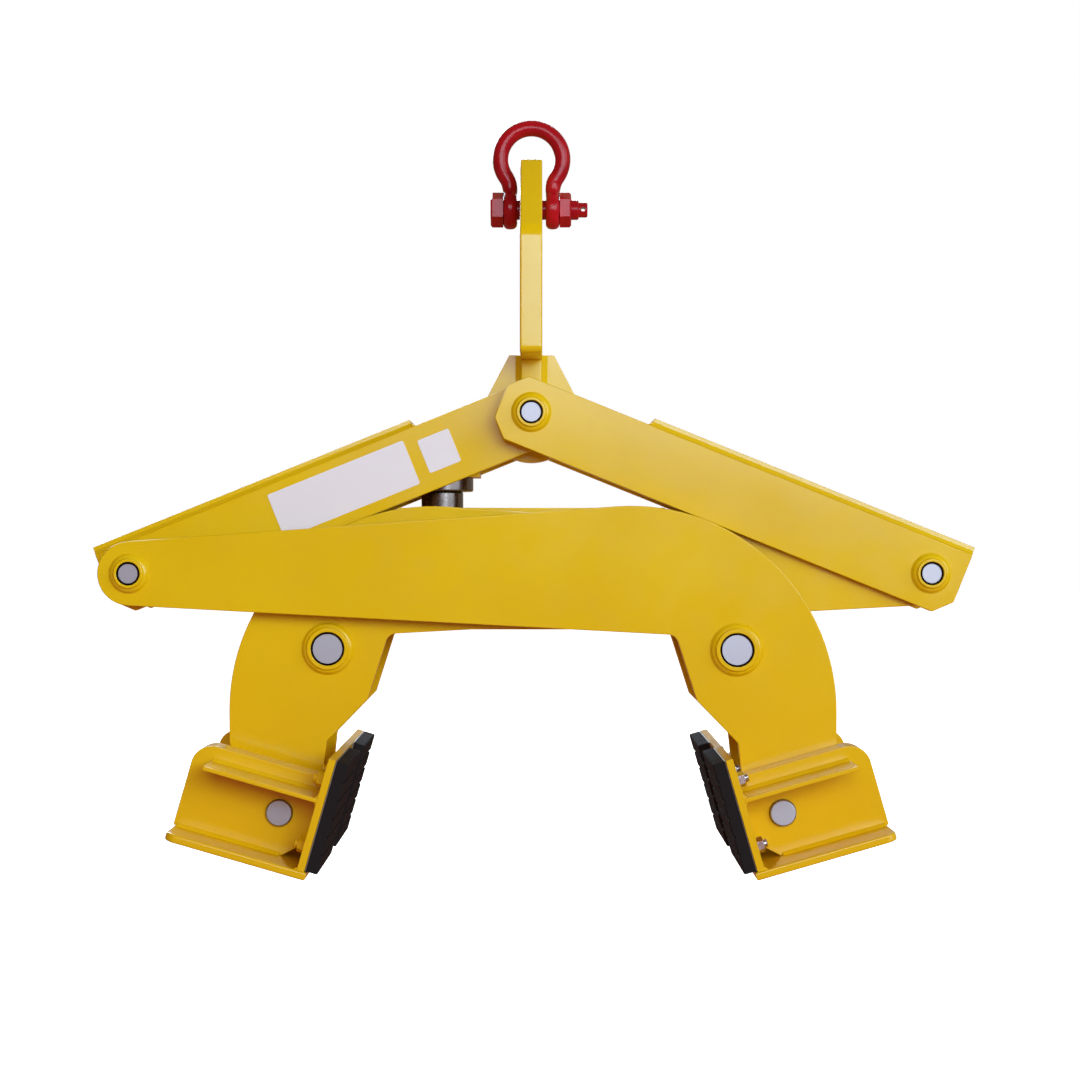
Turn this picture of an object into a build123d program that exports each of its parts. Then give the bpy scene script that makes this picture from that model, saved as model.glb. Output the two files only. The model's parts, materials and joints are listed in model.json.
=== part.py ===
"""Barrier grab: two crossed arms hung from two links, which close padded jaws on a barrier when it is lifted.

Millimetres, +Z up, -Y towards the viewer. The origin is the inside crown of the shackle's bow, where a hook seats.
Every arm and every link is a pair of plates, and the plates of both sides lie between each other. Seen from above,
half a turn brings the grab back onto itself, so one side is made first and turned for the other.
"""
import os
from math import acos, asin, atan2, cos, hypot, radians, sin, sqrt

from build123d import *

os.makedirs("parts", exist_ok=True)

# Pivot places, from the crown of the bow downwards and from the centre line outwards
bolt_drop = 109.0
hub_below_bolt = 304.0
end_reach = 575.0
end_below_hub = 232.0
fulcrum_reach = 294.0
fulcrum_below_hub = 341.0
foot_out = 60.0
foot_below_fulcrum = 226.5
foot_tilt = 16.1

# Plate stack, counted from the middle outwards
core_half = 32.0
side_gap = 2.0
link_thick = 16.0
arm_thick = 16.0

# Pins, their bosses and their retaining rings
link_pin_r = 16.5
fulcrum_pin_r = 24.0
foot_pin_r = 18.5
pin_fit = 0.35
pin_chamfer = 1.5
pin_recess = 2.6
ring_thick = 1.6
ring_width = 2.6
boss_wall_share = 0.24
boss_proud = 11.0
boss_weld = 8.5
spacer_wall = 8.0
end_play = 0.3

# Shackle
bow_inner_r = 34.2
bow_wire_r = 11.8
jaw_half = 21.0
ear_width = 20.7
ear_r = 28.5
ear_round = 8.0
neck_turn = 34.3
bolt_r = 14.35
hex_corner_r = 25.9
bolt_head = 18.5
nut_height = 17.0
bolt_thread = 11.0
bolt_tip = 13.0
bolt_tip_r = 11.0
hex_chamfer = 2.5
cotter_hole_r = 3.5

# Bail and hub
bail_thick = 31.75
bail_above_bolt = 67.0
bail_top_half = 50.0
bail_top_round = 12.0
bail_wide_half = 150.0
bail_flare_below_bolt = 49.0
bail_foot_below_bolt = 224.0
bail_foot_round = 10.0
tongue_length = 50.0
hub_thick = 32.0
hub_r = 70.0
hub_top_half = 33.0
hub_above_pin = 88.0

# Links
link_up = 47.0
link_down = 50.5
link_hub_end = 46.5
link_outer_end = 46.0
link_corner = 24.0
cap_thick = 11.5
cap_start = 168.0
cap_weld = 5.5

# Arms
tail_r = 46.0
shoulder_r = 294.0
shoulder_in = 151.0
shoulder_down = 88.0
leg_straight = 48.0
crotch_in = 87.0
crotch_up = 21.0
crotch_r = 16.0
knee_in = 57.0
knee_down = 73.0
ankle_out = 2.0
ankle_down = 134.0
leg_end_r = 48.0
back_plate_thick = 12.0
back_plate_height = 100.0
back_plate_inset = 3.0

# Centre beam, whose bushes give the fulcrum pins room to wander as the links fold
beam_below_hub = 137.0
beam_depth = 178.0
beam_half_top = 225.0
beam_half_bottom = 205.0
beam_plate = 12.0
beam_top_half = 48.0
beam_top_length = 390.0
tie_thick = 12.0
tie_pitch = 150.0
lug_wall = 10.0
bush_wall = 14.0
wander = 3.3
wander_out = 2.34
wander_down = 2.31

# Latch
latch_reach = 132.5
latch_rear = 16.0
flange_below_hub = 112.3
flange_r = 46.0
flange_thick = 20.8
shelf_thick = 12.0
shelf_over = 10.5
web_thick = 14.0
barrel_r = 30.0
barrel_height = 77.5
barrel_wall = 8.0
plunger_r = 12.0
plunger_nose = 16.0
plunger_lead = 4.0
collar_thick = 10.0
collar_gap = 2.0
post_r = 31.0
socket_gap = 0.6
socket_spare = 4.0

# Feet and their pads, in each foot's own frame: inwards across the pad, and up along it
foot_length = 460.0
face_thick = 10.0
face_in = 61.0
face_up = 101.5
sole_thick = 11.5
sole_down = 57.5
sole_out = 137.0
sole_in = 65.0
sole_round = 3.0
sole_corner = 16.0
foot_pin_proud = 7.0
cheek_thick = 50.0
cheek_gap = 1.0
cheek_out = 139.0
cheek_up = 65.0
cheek_round = 30.0
cope_up = 30.0
cope_out = 32.0
rib_thick = 6.0
rib_up = 38.5
rib_out = 112.0
pad_inset = 2.0
pad_gap = 76.0
pad_thick = 17.0
pad_down = 56.0
pad_chamfer = 4.0
backing_thick = 2.0
stud_r = 6.0
stud_gap = 0.5
stud_nut_r = 11.0
stud_nut_height = 10.5
stud_proud = 5.5
stud_ups = (-27.5, 67.0)
stud_from_end = 35.0

# Where the plates of the stack begin, outwards from the middle
link_inner_y = core_half + side_gap
arm_inner_y = link_inner_y + link_thick + side_gap
link_outer_y = arm_inner_y + arm_thick + side_gap
arm_outer_y = link_outer_y + link_thick + side_gap

# The pivots as (x, z) points, for the left link and the arm with the right jaw
bolt_z = -bolt_drop
hub = (0.0, bolt_z - hub_below_bolt)
left_end = (-end_reach, hub[1] - end_below_hub)
fulcrum = (fulcrum_reach, hub[1] - fulcrum_below_hub)
foot = (fulcrum[0] + foot_out, fulcrum[1] - foot_below_fulcrum)
bush = (fulcrum[0] + wander_out, fulcrum[1] - wander_down)

link_length = hypot(end_reach, end_below_hub)
link_way = (-end_reach / link_length, -end_below_hub / link_length)


def keep(piece, name):
    """Labels a finished piece and writes its file."""
    piece.part.label = name
    export_step(piece.part, f"parts/{name}.step")


def keep_both(piece, left_name, right_name):
    """Writes a piece, and the same piece turned half round for the other side."""
    keep(piece, left_name)
    with BuildPart() as other:
        add(piece.part, rotation=(0, 0, 180))
    keep(other, right_name)


def upright(front):
    """A plane across the grab at the given depth, drawn as (x, z) and extruded towards the rear."""
    return Plane(origin=(0, front, 0), x_dir=(-1, 0, 0), z_dir=(0, 1, 0))


def across(point):
    """An (x, z) point as that plane counts it."""
    return (-point[0], point[1])


def grazing_point(start, centre, radius, side):
    """Where a line from a point touches a circle; side is 1 on the left of the way there and -1 on the right."""
    dx, dz = centre[0] - start[0], centre[1] - start[1]
    reach = hypot(dx, dz)
    turn = atan2(dz, dx) + side * asin(radius / reach)
    run = sqrt(reach**2 - radius**2)
    return (start[0] + run * cos(turn), start[1] + run * sin(turn))


def shared_tangent(centre_a, radius_a, centre_b, radius_b):
    """The two ends of the straight line that lies on the left of both circles, from the first to the second."""
    dx, dz = centre_b[0] - centre_a[0], centre_b[1] - centre_a[1]
    normal = atan2(dz, dx) + acos((radius_a - radius_b) / hypot(dx, dz))
    return [(c[0] + r * cos(normal), c[1] + r * sin(normal))
            for c, r in ((centre_a, radius_a), (centre_b, radius_b))]


def on_circle(centre, radius, angle):
    """A point on a circle, at an angle in degrees."""
    return (centre[0] + radius * cos(radians(angle)), centre[1] + radius * sin(radians(angle)))


def round_bar(points, radius, front, rear, chamfered=0.0):
    """Plain round bars along Y through the given points."""
    with BuildPart() as bars:
        with BuildSketch(upright(front)):
            with Locations(*[across(p) for p in points]):
                Circle(radius)
        extrude(amount=rear - front)
        if chamfered:
            chamfer(bars.edges().filter_by(GeomType.CIRCLE), chamfered)
    return bars


def tubes(point, bore_r, outer_r, spans):
    """Tubes along Y about one point, one for each (front, rear) span."""
    with BuildPart() as pieces:
        for front, rear in spans:
            with BuildSketch(upright(front)):
                with Locations(across(point)):
                    Circle(outer_r)
                    Circle(bore_r, mode=Mode.SUBTRACT)
            extrude(amount=rear - front)
    return pieces


def bosses(places):
    """Bosses with their weld beads, each given as (point, pin radius, face it stands on, way it points)."""
    with BuildPart() as rings:
        for (x, z), pin_radius, face, way in places:
            bore = pin_radius + pin_fit
            outer = bore + boss_wall_share * pin_radius
            with BuildSketch(Plane(origin=(x, face, z), x_dir=(1, 0, 0), z_dir=(0, 0, way))):
                with BuildLine():
                    Polyline((bore, 0), (outer + boss_weld, 0), (outer, boss_weld), (outer, boss_proud),
                             (bore, boss_proud), close=True)
                make_face()
            revolve(axis=Axis((x, face, z), (0, 1, 0)))
    return rings


def pin(point, radius, front, rear):
    """A pin that ends a little below the bosses' faces at either end."""
    return round_bar([point], radius, front + pin_recess, rear - pin_recess, pin_chamfer)


def pin_rings(point, radius, front, rear):
    """The two dark retaining rings that lie on a pin's ends, inside the bosses."""
    spans = [(front + pin_recess - ring_thick, front + pin_recess), (rear - pin_recess, rear - pin_recess + ring_thick)]
    return tubes(point, radius - ring_width, radius, spans)


# Shackle bow: a round wire with drawn-in legs that end in two flat eyes, faced off inside and out
wire_arc_r = bow_inner_r + bow_wire_r
leg_x = jaw_half + ear_width / 2
neck_r = (wire_arc_r - leg_x) / (1 - cos(radians(neck_turn))) - wire_arc_r
neck_foot_z = -bow_inner_r - (wire_arc_r + neck_r) * sin(radians(neck_turn))

with BuildPart() as shackle_bow:
    for side_x in (-jaw_half - ear_width, jaw_half):
        with BuildSketch(Plane.YZ.offset(side_x)):
            with Locations((0, bolt_z)):
                Circle(ear_r)
        extrude(amount=ear_width)
    fillet(shackle_bow.edges().filter_by(GeomType.CIRCLE), ear_round)
    with BuildLine(Plane.XZ) as wire:
        leg = Line((-leg_x, bolt_z), (-leg_x, neck_foot_z))
        neck = JernArc(start=leg @ 1, tangent=leg % 1, radius=neck_r, arc_size=neck_turn)
        crown = JernArc(start=neck @ 1, tangent=neck % 1, radius=wire_arc_r, arc_size=-180 - 2 * neck_turn)
        far_neck = JernArc(start=crown @ 1, tangent=crown % 1, radius=neck_r, arc_size=neck_turn)
        Line(far_neck @ 1, far_neck @ 1 + (far_neck % 1) * leg.length)
    with BuildSketch(Plane(origin=(-leg_x, 0, bolt_z), z_dir=(0, 0, 1))):
        Circle(bow_wire_r)
    sweep(path=wire.wires()[0])
    with BuildSketch(Plane.YZ):
        with Locations((0, bolt_z)):
            Circle(bolt_r + pin_fit)
    extrude(amount=jaw_half + ear_width, both=True, mode=Mode.SUBTRACT)
    for flat_x in (-jaw_half - ear_width - bow_wire_r, -jaw_half, jaw_half - bow_wire_r, jaw_half + ear_width):
        with BuildSketch(Plane.YZ.offset(flat_x)):
            with Locations((0, bolt_z)):
                Circle(ear_r)
        extrude(amount=bow_wire_r, mode=Mode.SUBTRACT)
keep(shackle_bow, "shackle_bow")

ear_outer = jaw_half + ear_width
nut_face = ear_outer + nut_height


def hexagon(start_x, height):
    """A hexagon bar along X about the shackle bolt's axis, with its outer corners turned off at the far end."""
    with BuildPart() as bar:
        with BuildSketch(Plane.YZ.offset(start_x)):
            with Locations((0, bolt_z)):
                RegularPolygon(hex_corner_r, 6, rotation=90)
        extrude(amount=height)
        with BuildSketch(Plane.YZ.offset(start_x)):
            with Locations((0, bolt_z)):
                Circle(hex_corner_r)
        extrude(amount=height, mode=Mode.INTERSECT)
    return bar


with BuildPart() as shackle_bolt:
    add(hexagon(-ear_outer - bolt_head, bolt_head).part)
    chamfer(shackle_bolt.faces().sort_by(Axis.X)[0].edges(), hex_chamfer)
    with BuildSketch(Plane.YZ.offset(-ear_outer)):
        with Locations((0, bolt_z)):
            Circle(bolt_r)
    extrude(amount=ear_outer + nut_face + bolt_thread)
    chamfer(shackle_bolt.faces().sort_by(Axis.X)[-1].edges(), pin_chamfer)
    with BuildSketch(Plane.YZ.offset(nut_face + bolt_thread)):
        with Locations((0, bolt_z)):
            Circle(bolt_tip_r)
    extrude(amount=bolt_tip)
    chamfer(shackle_bolt.faces().sort_by(Axis.X)[-1].edges(), pin_chamfer)
    with BuildSketch(Plane.XZ):
        with Locations((nut_face + bolt_thread + bolt_tip / 2, bolt_z)):
            Circle(cotter_hole_r)
    extrude(amount=2 * bolt_tip_r, both=True, mode=Mode.SUBTRACT)
keep(shackle_bolt, "shackle_bolt")

with BuildPart() as shackle_nut:
    add(hexagon(ear_outer, nut_height).part)
    chamfer(shackle_nut.faces().sort_by(Axis.X)[-1].edges(), hex_chamfer)
    with BuildSketch(Plane.YZ.offset(ear_outer)):
        with Locations((0, bolt_z)):
            Circle(bolt_r)
    extrude(amount=nut_height, mode=Mode.SUBTRACT)
keep(shackle_nut, "shackle_nut")

# Bail plate: stands edge-on to the viewer, flares towards its foot, and straddles the hub plate with two tongues
bail_top = bolt_z + bail_above_bolt
bail_flare = bolt_z - bail_flare_below_bolt
bail_foot = bolt_z - bail_foot_below_bolt
hub_top = hub[1] + hub_above_pin
tongue_end = bail_foot - tongue_length

with BuildPart() as bail_plate:
    with BuildSketch(Plane.YZ.offset(-bail_thick / 2)):
        with BuildLine() as bail_edge:
            half = FilletPolyline((0, bail_top), (bail_top_half, bail_top), (bail_wide_half, bail_flare),
                                  (bail_wide_half, bail_foot), (core_half, bail_foot),
                                  radius=[bail_top_round, 3 * bail_top_round, bail_foot_round])
            Polyline((core_half, bail_foot), (core_half, tongue_end), (hub_thick / 2, tongue_end),
                     (hub_thick / 2, hub_top), (0, hub_top))
            mirror(about=Plane.YZ)
        make_face()
        with Locations((0, bolt_z)):
            Circle(bolt_r + pin_fit, mode=Mode.SUBTRACT)
    extrude(amount=bail_thick)
keep(bail_plate, "bail_plate")

hub_side = grazing_point((hub_top_half, hub_top), hub, hub_r, 1)

with BuildPart() as hub_plate:
    with BuildSketch(upright(-hub_thick / 2)):
        with BuildLine():
            Polyline(hub_side, (hub_top_half, hub_top), (-hub_top_half, hub_top), (-hub_side[0], hub_side[1]))
            ThreePointArc((-hub_side[0], hub_side[1]), on_circle(hub, hub_r, -90), hub_side)
        make_face()
        with Locations(hub):
            Circle(link_pin_r + pin_fit, mode=Mode.SUBTRACT)
    extrude(amount=hub_thick)
keep(hub_plate, "hub_plate")

hub_pin_end = link_outer_y + link_thick + boss_proud
spacer_bore = link_pin_r + pin_fit
spacer_r = spacer_bore + spacer_wall
inner_span = (hub_thick / 2, link_inner_y - end_play)
outer_span = (link_inner_y + link_thick + end_play, link_outer_y - end_play)
keep(pin(hub, link_pin_r, -hub_pin_end, hub_pin_end), "hub_pin")
keep(pin_rings(hub, link_pin_r, -hub_pin_end, hub_pin_end), "hub_pin_rings")
keep(tubes(hub, spacer_bore, spacer_r, [inner_span, outer_span, (-inner_span[1], -inner_span[0]),
                                        (-outer_span[1], -outer_span[0])]), "hub_spacers")


# Links: two plates each, tied along their top edges by a cap plate
link_outer = link_length + link_outer_end


def link_plane(front):
    """A plane at a depth whose x runs from the hub pin out along the left link, and whose y is up across it."""
    return Plane(origin=(hub[0], front, hub[1]), x_dir=(link_way[0], 0, link_way[1]), z_dir=(0, 1, 0))


def link_plate(front):
    """One plate of the left link: corners cut off at the hub and below the end pin."""
    with BuildPart() as plate:
        with BuildSketch(link_plane(front)):
            with BuildLine():
                Polyline((-link_hub_end, link_corner - link_down), (-link_hub_end, link_up - link_corner),
                         (link_corner - link_hub_end, link_up), (link_outer, link_up),
                         (link_outer, link_corner - link_down), (link_outer - link_corner, -link_down),
                         (link_corner - link_hub_end, -link_down), close=True)
            make_face()
            with Locations((0, 0), (link_length, 0)):
                Circle(link_pin_r + pin_fit, mode=Mode.SUBTRACT)
        extrude(amount=link_thick)
    return plate


left_front = -link_inner_y - link_thick
left_rear = link_outer_y + link_thick
keep_both(link_plate(left_front), "left_link_front_plate", "right_link_rear_plate")
keep_both(link_plate(link_outer_y), "left_link_rear_plate", "right_link_front_plate")

# The cap stands back from the plates' faces by the width of its welds, which are part of it
with BuildPart() as link_cap:
    with BuildSketch(link_plane(left_front + cap_weld)):
        with Locations((cap_start, link_up)):
            Rectangle(link_outer - cap_start, cap_thick, align=(Align.MIN, Align.MIN))
    extrude(amount=left_rear - left_front - 2 * cap_weld)
    for front in (left_front, left_rear - link_thick):
        with BuildSketch(link_plane(front)):
            with BuildLine():
                Polyline((cap_start - cap_weld, link_up), (cap_start, link_up), (cap_start, link_up + cap_weld),
                         close=True)
            make_face()
        extrude(amount=link_thick)
    for edge, way in ((left_front, -1), (left_rear, 1)):
        with BuildSketch(Plane(origin=(hub[0], edge, hub[1]), x_dir=(0, way, 0),
                               z_dir=(-way * link_way[0], 0, -way * link_way[1])).offset(-way * cap_start)):
            with BuildLine():
                Polyline((0, link_up), (-cap_weld, link_up), (-cap_weld, link_up + cap_weld), close=True)
            make_face()
        extrude(amount=-way * (link_outer - cap_start))
keep_both(link_cap, "left_link_cap", "right_link_cap")

keep_both(bosses([(hub, link_pin_r, left_rear, 1), (left_end, link_pin_r, left_rear, 1)]),
          "left_link_bosses", "right_link_bosses")

end_pin_front = -arm_outer_y - arm_thick - boss_proud
end_pin_rear = left_rear + boss_proud
keep_both(pin(left_end, link_pin_r, end_pin_front, end_pin_rear), "left_end_pin", "right_end_pin")
keep_both(pin_rings(left_end, link_pin_r, end_pin_front, end_pin_rear), "left_end_rings", "right_end_rings")
keep_both(tubes(left_end, spacer_bore, spacer_r, [(end_play - arm_outer_y, left_front - end_play),
                                                  (end_play - link_inner_y, arm_inner_y - end_play)]),
          "left_end_spacers", "right_end_spacers")

# Arms: the arm with the right jaw runs from the left end pin over the fulcrum and down its leg to the foot pin
shoulder = (fulcrum[0] - shoulder_in, fulcrum[1] - shoulder_down)
crotch = (fulcrum[0] - crotch_in, fulcrum[1] + crotch_up)
knee = (fulcrum[0] - knee_in, fulcrum[1] - knee_down)
ankle = (fulcrum[0] + ankle_out, fulcrum[1] - ankle_down)
heel = (shoulder[0] + shoulder_r, shoulder[1] - leg_straight)


def arm_plate(front):
    """One plate of the arm with the right jaw."""
    tail_top, shoulder_top = shared_tangent(left_end, tail_r, shoulder, shoulder_r)
    tail_bottom = grazing_point(crotch, left_end, tail_r, 1)
    toe_in = grazing_point(ankle, foot, leg_end_r, -1)
    toe_out = grazing_point(heel, foot, leg_end_r, 1)
    with BuildPart() as plate:
        with BuildSketch(upright(front)) as outline:
            with BuildLine():
                FilletPolyline(*[across(p) for p in (tail_bottom, crotch, knee)], radius=crotch_r)
                Polyline(*[across(p) for p in (knee, ankle, toe_in)])
                ThreePointArc(*[across(p) for p in (toe_in, on_circle(foot, leg_end_r, -90), toe_out)])
                Polyline(*[across(p) for p in (toe_out, heel, (heel[0], shoulder[1]))])
                ThreePointArc(*[across(p) for p in ((heel[0], shoulder[1]), on_circle(shoulder, shoulder_r, 45),
                                                    shoulder_top)])
                Line(across(shoulder_top), across(tail_top))
                ThreePointArc(*[across(p) for p in (tail_top, on_circle(left_end, tail_r, 180), tail_bottom)])
            make_face()
            for point, radius in ((left_end, link_pin_r), (fulcrum, fulcrum_pin_r), (foot, foot_pin_r)):
                with Locations(across(point)):
                    Circle(radius + pin_fit, mode=Mode.SUBTRACT)
        extrude(amount=arm_thick)
    return plate


arm_front = -arm_outer_y - arm_thick
arm_rear = arm_inner_y + arm_thick
keep_both(arm_plate(arm_front), "right_arm_front_plate", "left_arm_rear_plate")
keep_both(arm_plate(arm_inner_y), "right_arm_rear_plate", "left_arm_front_plate")

leg_half = arm_outer_y + arm_thick

with BuildPart() as arm_bosses:
    add(bosses([(left_end, link_pin_r, arm_front, -1), (fulcrum, fulcrum_pin_r, arm_front, -1),
                (fulcrum, fulcrum_pin_r, arm_rear, 1)]).part)
    add(tubes(foot, foot_pin_r + pin_fit, foot_pin_r + pin_fit + spacer_wall, [(arm_rear, leg_half)]).part)
keep_both(arm_bosses, "right_arm_bosses", "left_arm_bosses")

fulcrum_front = arm_front - boss_proud
fulcrum_rear = arm_rear + boss_proud
keep_both(pin(fulcrum, fulcrum_pin_r, fulcrum_front, fulcrum_rear), "right_fulcrum_pin", "left_fulcrum_pin")
keep_both(pin_rings(fulcrum, fulcrum_pin_r, fulcrum_front, fulcrum_rear), "right_fulcrum_rings", "left_fulcrum_rings")

with BuildPart() as back_plate:
    with BuildSketch(upright(-arm_outer_y)):
        with Locations(across((heel[0] - back_plate_inset, heel[1]))):
            Rectangle(back_plate_thick, back_plate_height, align=(Align.MIN, Align.MIN))
    extrude(amount=arm_outer_y + arm_inner_y)
keep_both(back_plate, "right_arm_back_plate", "left_arm_back_plate")

# Centre beam: two side plates under a top plate, with a long bush at each end between the arms' plates
beam_top = hub[1] - beam_below_hub
plate_top = beam_top - beam_plate
beam_bottom = beam_top - beam_depth
bush_bore = fulcrum_pin_r + wander + pin_fit
bush_r = bush_bore + bush_wall
lug_r = bush_r + lug_wall


def beam_side(front):
    """One side plate of the beam, with a round lug hanging at each end."""
    outer = grazing_point((beam_half_top, plate_top), bush, lug_r, 1)
    inner = grazing_point((beam_half_bottom, beam_bottom), bush, lug_r, -1)
    with BuildPart() as plate:
        with BuildSketch(upright(front)):
            with BuildLine():
                Polyline((0, plate_top), (beam_half_top, plate_top), outer)
                ThreePointArc(outer, on_circle(bush, lug_r, -60), inner)
                Polyline(inner, (beam_half_bottom, beam_bottom), (0, beam_bottom))
                mirror(about=Plane.YZ)
            make_face()
            with Locations(bush, across(bush)):
                Circle(bush_r, mode=Mode.SUBTRACT)
        extrude(amount=beam_plate)
    return plate


keep(beam_side(-core_half), "beam_front_plate")
keep(beam_side(core_half - beam_plate), "beam_rear_plate")

with BuildPart() as beam_top_plate:
    with BuildSketch(Plane.XY.offset(plate_top)):
        Rectangle(beam_top_length, 2 * beam_top_half)
    extrude(amount=beam_plate)
keep(beam_top_plate, "beam_top_plate")

with BuildPart() as beam_ties:
    with BuildSketch(Plane.XY.offset(beam_bottom)):
        with GridLocations(tie_pitch, 0, 3, 1):
            Rectangle(tie_thick, 2 * (core_half - beam_plate))
    extrude(amount=beam_depth - beam_plate)
keep(beam_ties, "beam_ties")

with BuildPart() as beam_bushes:
    add(tubes(bush, bush_bore, bush_r, [(end_play - arm_outer_y, arm_inner_y - end_play)]).part)
    add(beam_bushes.part, rotation=(0, 0, 180))
keep(beam_bushes, "beam_bushes")

# Latch: a sprung plunger in a barrel that hangs from the hub, and the post on the beam that it drops into
flange_z = hub[1] - flange_below_hub
shelf_z = flange_z + flange_thick
shelf_top = shelf_z + shelf_thick
latch_at = (-latch_reach, latch_rear)
shelf_end = -latch_reach + flange_r + shelf_over

with BuildPart() as latch_bracket:
    with BuildSketch(Plane.XY.offset(shelf_z)):
        with Locations((shelf_end, latch_rear)):
            Rectangle(2 * flange_r + shelf_over, 2 * flange_r, align=(Align.MAX, Align.CENTER))
    extrude(amount=shelf_thick)
    with BuildSketch(upright(-web_thick / 2)):
        with BuildLine():
            Polyline(*[across(p) for p in ((0, hub[1]), (-latch_reach, shelf_z + barrel_height),
                                           (-latch_reach, shelf_top), (shelf_end, shelf_top),
                                           (shelf_end + shelf_over, shelf_top + shelf_over), (0, hub[1]))])
        make_face()
        with Locations(hub):
            Circle(hub_r, mode=Mode.SUBTRACT)
    extrude(amount=web_thick)
    with BuildSketch(Plane.XY.offset(shelf_z)):
        with Locations(latch_at):
            Circle(barrel_r)
    extrude(amount=barrel_height, mode=Mode.SUBTRACT)
keep(latch_bracket, "latch_bracket")

with BuildPart() as latch_flange:
    with BuildSketch(Plane.XY.offset(flange_z)):
        with Locations(latch_at):
            Circle(flange_r)
            Circle(plunger_r + pin_fit, mode=Mode.SUBTRACT)
    extrude(amount=flange_thick)
    chamfer(latch_flange.faces().sort_by(Axis.Z)[0].edges().sort_by(SortBy.LENGTH)[-1], pin_chamfer)
keep(latch_flange, "latch_flange")

with BuildPart() as latch_barrel:
    with BuildSketch(Plane.XY.offset(shelf_z)):
        with Locations(latch_at):
            Circle(barrel_r)
    extrude(amount=barrel_height)
    chamfer(latch_barrel.faces().sort_by(Axis.Z)[-1].edges(), 2 * pin_chamfer)
    with BuildSketch(Plane.XY.offset(shelf_z)):
        with Locations(latch_at):
            Circle(barrel_r - barrel_wall)
    extrude(amount=barrel_height - barrel_wall, mode=Mode.SUBTRACT)
keep(latch_barrel, "latch_barrel")

with BuildPart() as latch_plunger:
    with BuildSketch(Plane.XY.offset(flange_z - plunger_nose)):
        with Locations(latch_at):
            Circle(plunger_r)
    extrude(amount=plunger_nose + flange_thick)
    chamfer(latch_plunger.faces().sort_by(Axis.Z)[0].edges(), plunger_lead)
    with BuildSketch(Plane.XY.offset(shelf_z)):
        with Locations(latch_at):
            Circle(barrel_r - barrel_wall - collar_gap)
    extrude(amount=collar_thick)
keep(latch_plunger, "latch_plunger")

with BuildPart() as latch_post:
    with BuildSketch(Plane.XY.offset(beam_top)):
        with Locations(latch_at):
            Circle(post_r)
    extrude(amount=flange_z - end_play - beam_top)
    with BuildSketch(Plane.XY.offset(flange_z - plunger_nose - socket_spare)):
        with Locations(latch_at):
            Circle(plunger_r + socket_gap)
    extrude(amount=plunger_nose + socket_spare, mode=Mode.SUBTRACT)
    chamfer(latch_post.faces().sort_by(Axis.Z)[-1].edges(), pin_chamfer)
keep(latch_post, "latch_post")

# Feet: a face plate for two pads on a sole, with two thick cheeks that take the leg between them on the foot pin
cheek_face = leg_half + cheek_gap
cheek_outer = cheek_face + cheek_thick
face_back = face_in - face_thick
inward = (-cos(radians(foot_tilt)), 0, -sin(radians(foot_tilt)))


def foot_plane(along):
    """A plane across the right foot, a given way along it from its middle: x goes inwards and y up its face."""
    return Plane(origin=(foot[0], along, foot[1]), x_dir=inward, z_dir=(0, 1, 0))


def foot_block(low, high, along, length):
    """A square-edged bar along the right foot between two corners of its section."""
    with BuildPart() as block:
        with BuildSketch(foot_plane(along)):
            with Locations(low):
                Rectangle(high[0] - low[0], high[1] - low[1], align=(Align.MIN, Align.MIN))
        extrude(amount=length)
    return block


# The inner studs stand where the gap between the leg's plates and the cheek leaves room for their nuts
stud_alongs = ((arm_rear + arm_outer_y) / 2, foot_length / 2 - stud_from_end)
stud_spots = [(way * along, up) for up in stud_ups for along in stud_alongs for way in (-1, 1)]


def stud_plane(depth):
    """A plane along the foot's face, a given way inwards, drawn as (along, up) and extruded away from the pads."""
    middle = Vector(foot[0], 0, foot[1]) + Vector(*inward) * depth
    return Plane(origin=middle, x_dir=(0, 1, 0), z_dir=-Vector(*inward))


with BuildPart() as foot_face:
    add(foot_block((face_back, -sole_down), (face_in, face_up), -foot_length / 2, foot_length).part)
    with BuildSketch(stud_plane(face_in)):
        with Locations(*stud_spots):
            Circle(stud_r + stud_gap)
    extrude(amount=face_thick, mode=Mode.SUBTRACT)
keep_both(foot_face, "right_foot_face_plate", "left_foot_face_plate")

with BuildPart() as foot_sole:
    add(foot_block((-sole_out, -sole_down - sole_thick), (sole_in, -sole_down), -foot_length / 2, foot_length).part)
    corners = foot_sole.edges().filter_by(Axis((0, 0, 0), Vector(0, 1, 0).cross(Vector(*inward))))
    fillet(corners.sort_by(Axis((0, 0, 0), inward))[:2], sole_corner)
    fillet(foot_sole.edges().filter_by(Axis.Y), sole_round)
keep_both(foot_sole, "right_foot_sole", "left_foot_sole")

with BuildPart() as foot_cheeks:
    for start in (-cheek_outer, cheek_face):
        with BuildSketch(foot_plane(start)):
            with BuildLine():
                FilletPolyline((face_back, cheek_up), (-cheek_out, cheek_up), (-cheek_out, -sole_down),
                               radius=cheek_round)
                Polyline((-cheek_out, -sole_down), (face_back - cope_out, -sole_down),
                         (face_back, cope_up - sole_down), (face_back, cheek_up))
            make_face()
            Circle(foot_pin_r + pin_fit, mode=Mode.SUBTRACT)
        extrude(amount=cheek_thick)
keep_both(foot_cheeks, "right_foot_cheeks", "left_foot_cheeks")

rib_reach = foot_length / 2 - cheek_outer

with BuildPart() as foot_ribs:
    for start in (-foot_length / 2, cheek_outer):
        with BuildSketch(foot_plane(start)):
            with Locations((face_back, rib_up)):
                Rectangle(face_back + rib_out, rib_thick, align=(Align.MAX, Align.MIN))
        extrude(amount=rib_reach)
keep_both(foot_ribs, "right_foot_ribs", "left_foot_ribs")

foot_pin_end = cheek_outer + foot_pin_proud
keep_both(round_bar([foot], foot_pin_r, -foot_pin_end, foot_pin_end, pin_chamfer), "right_foot_pin", "left_foot_pin")

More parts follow.
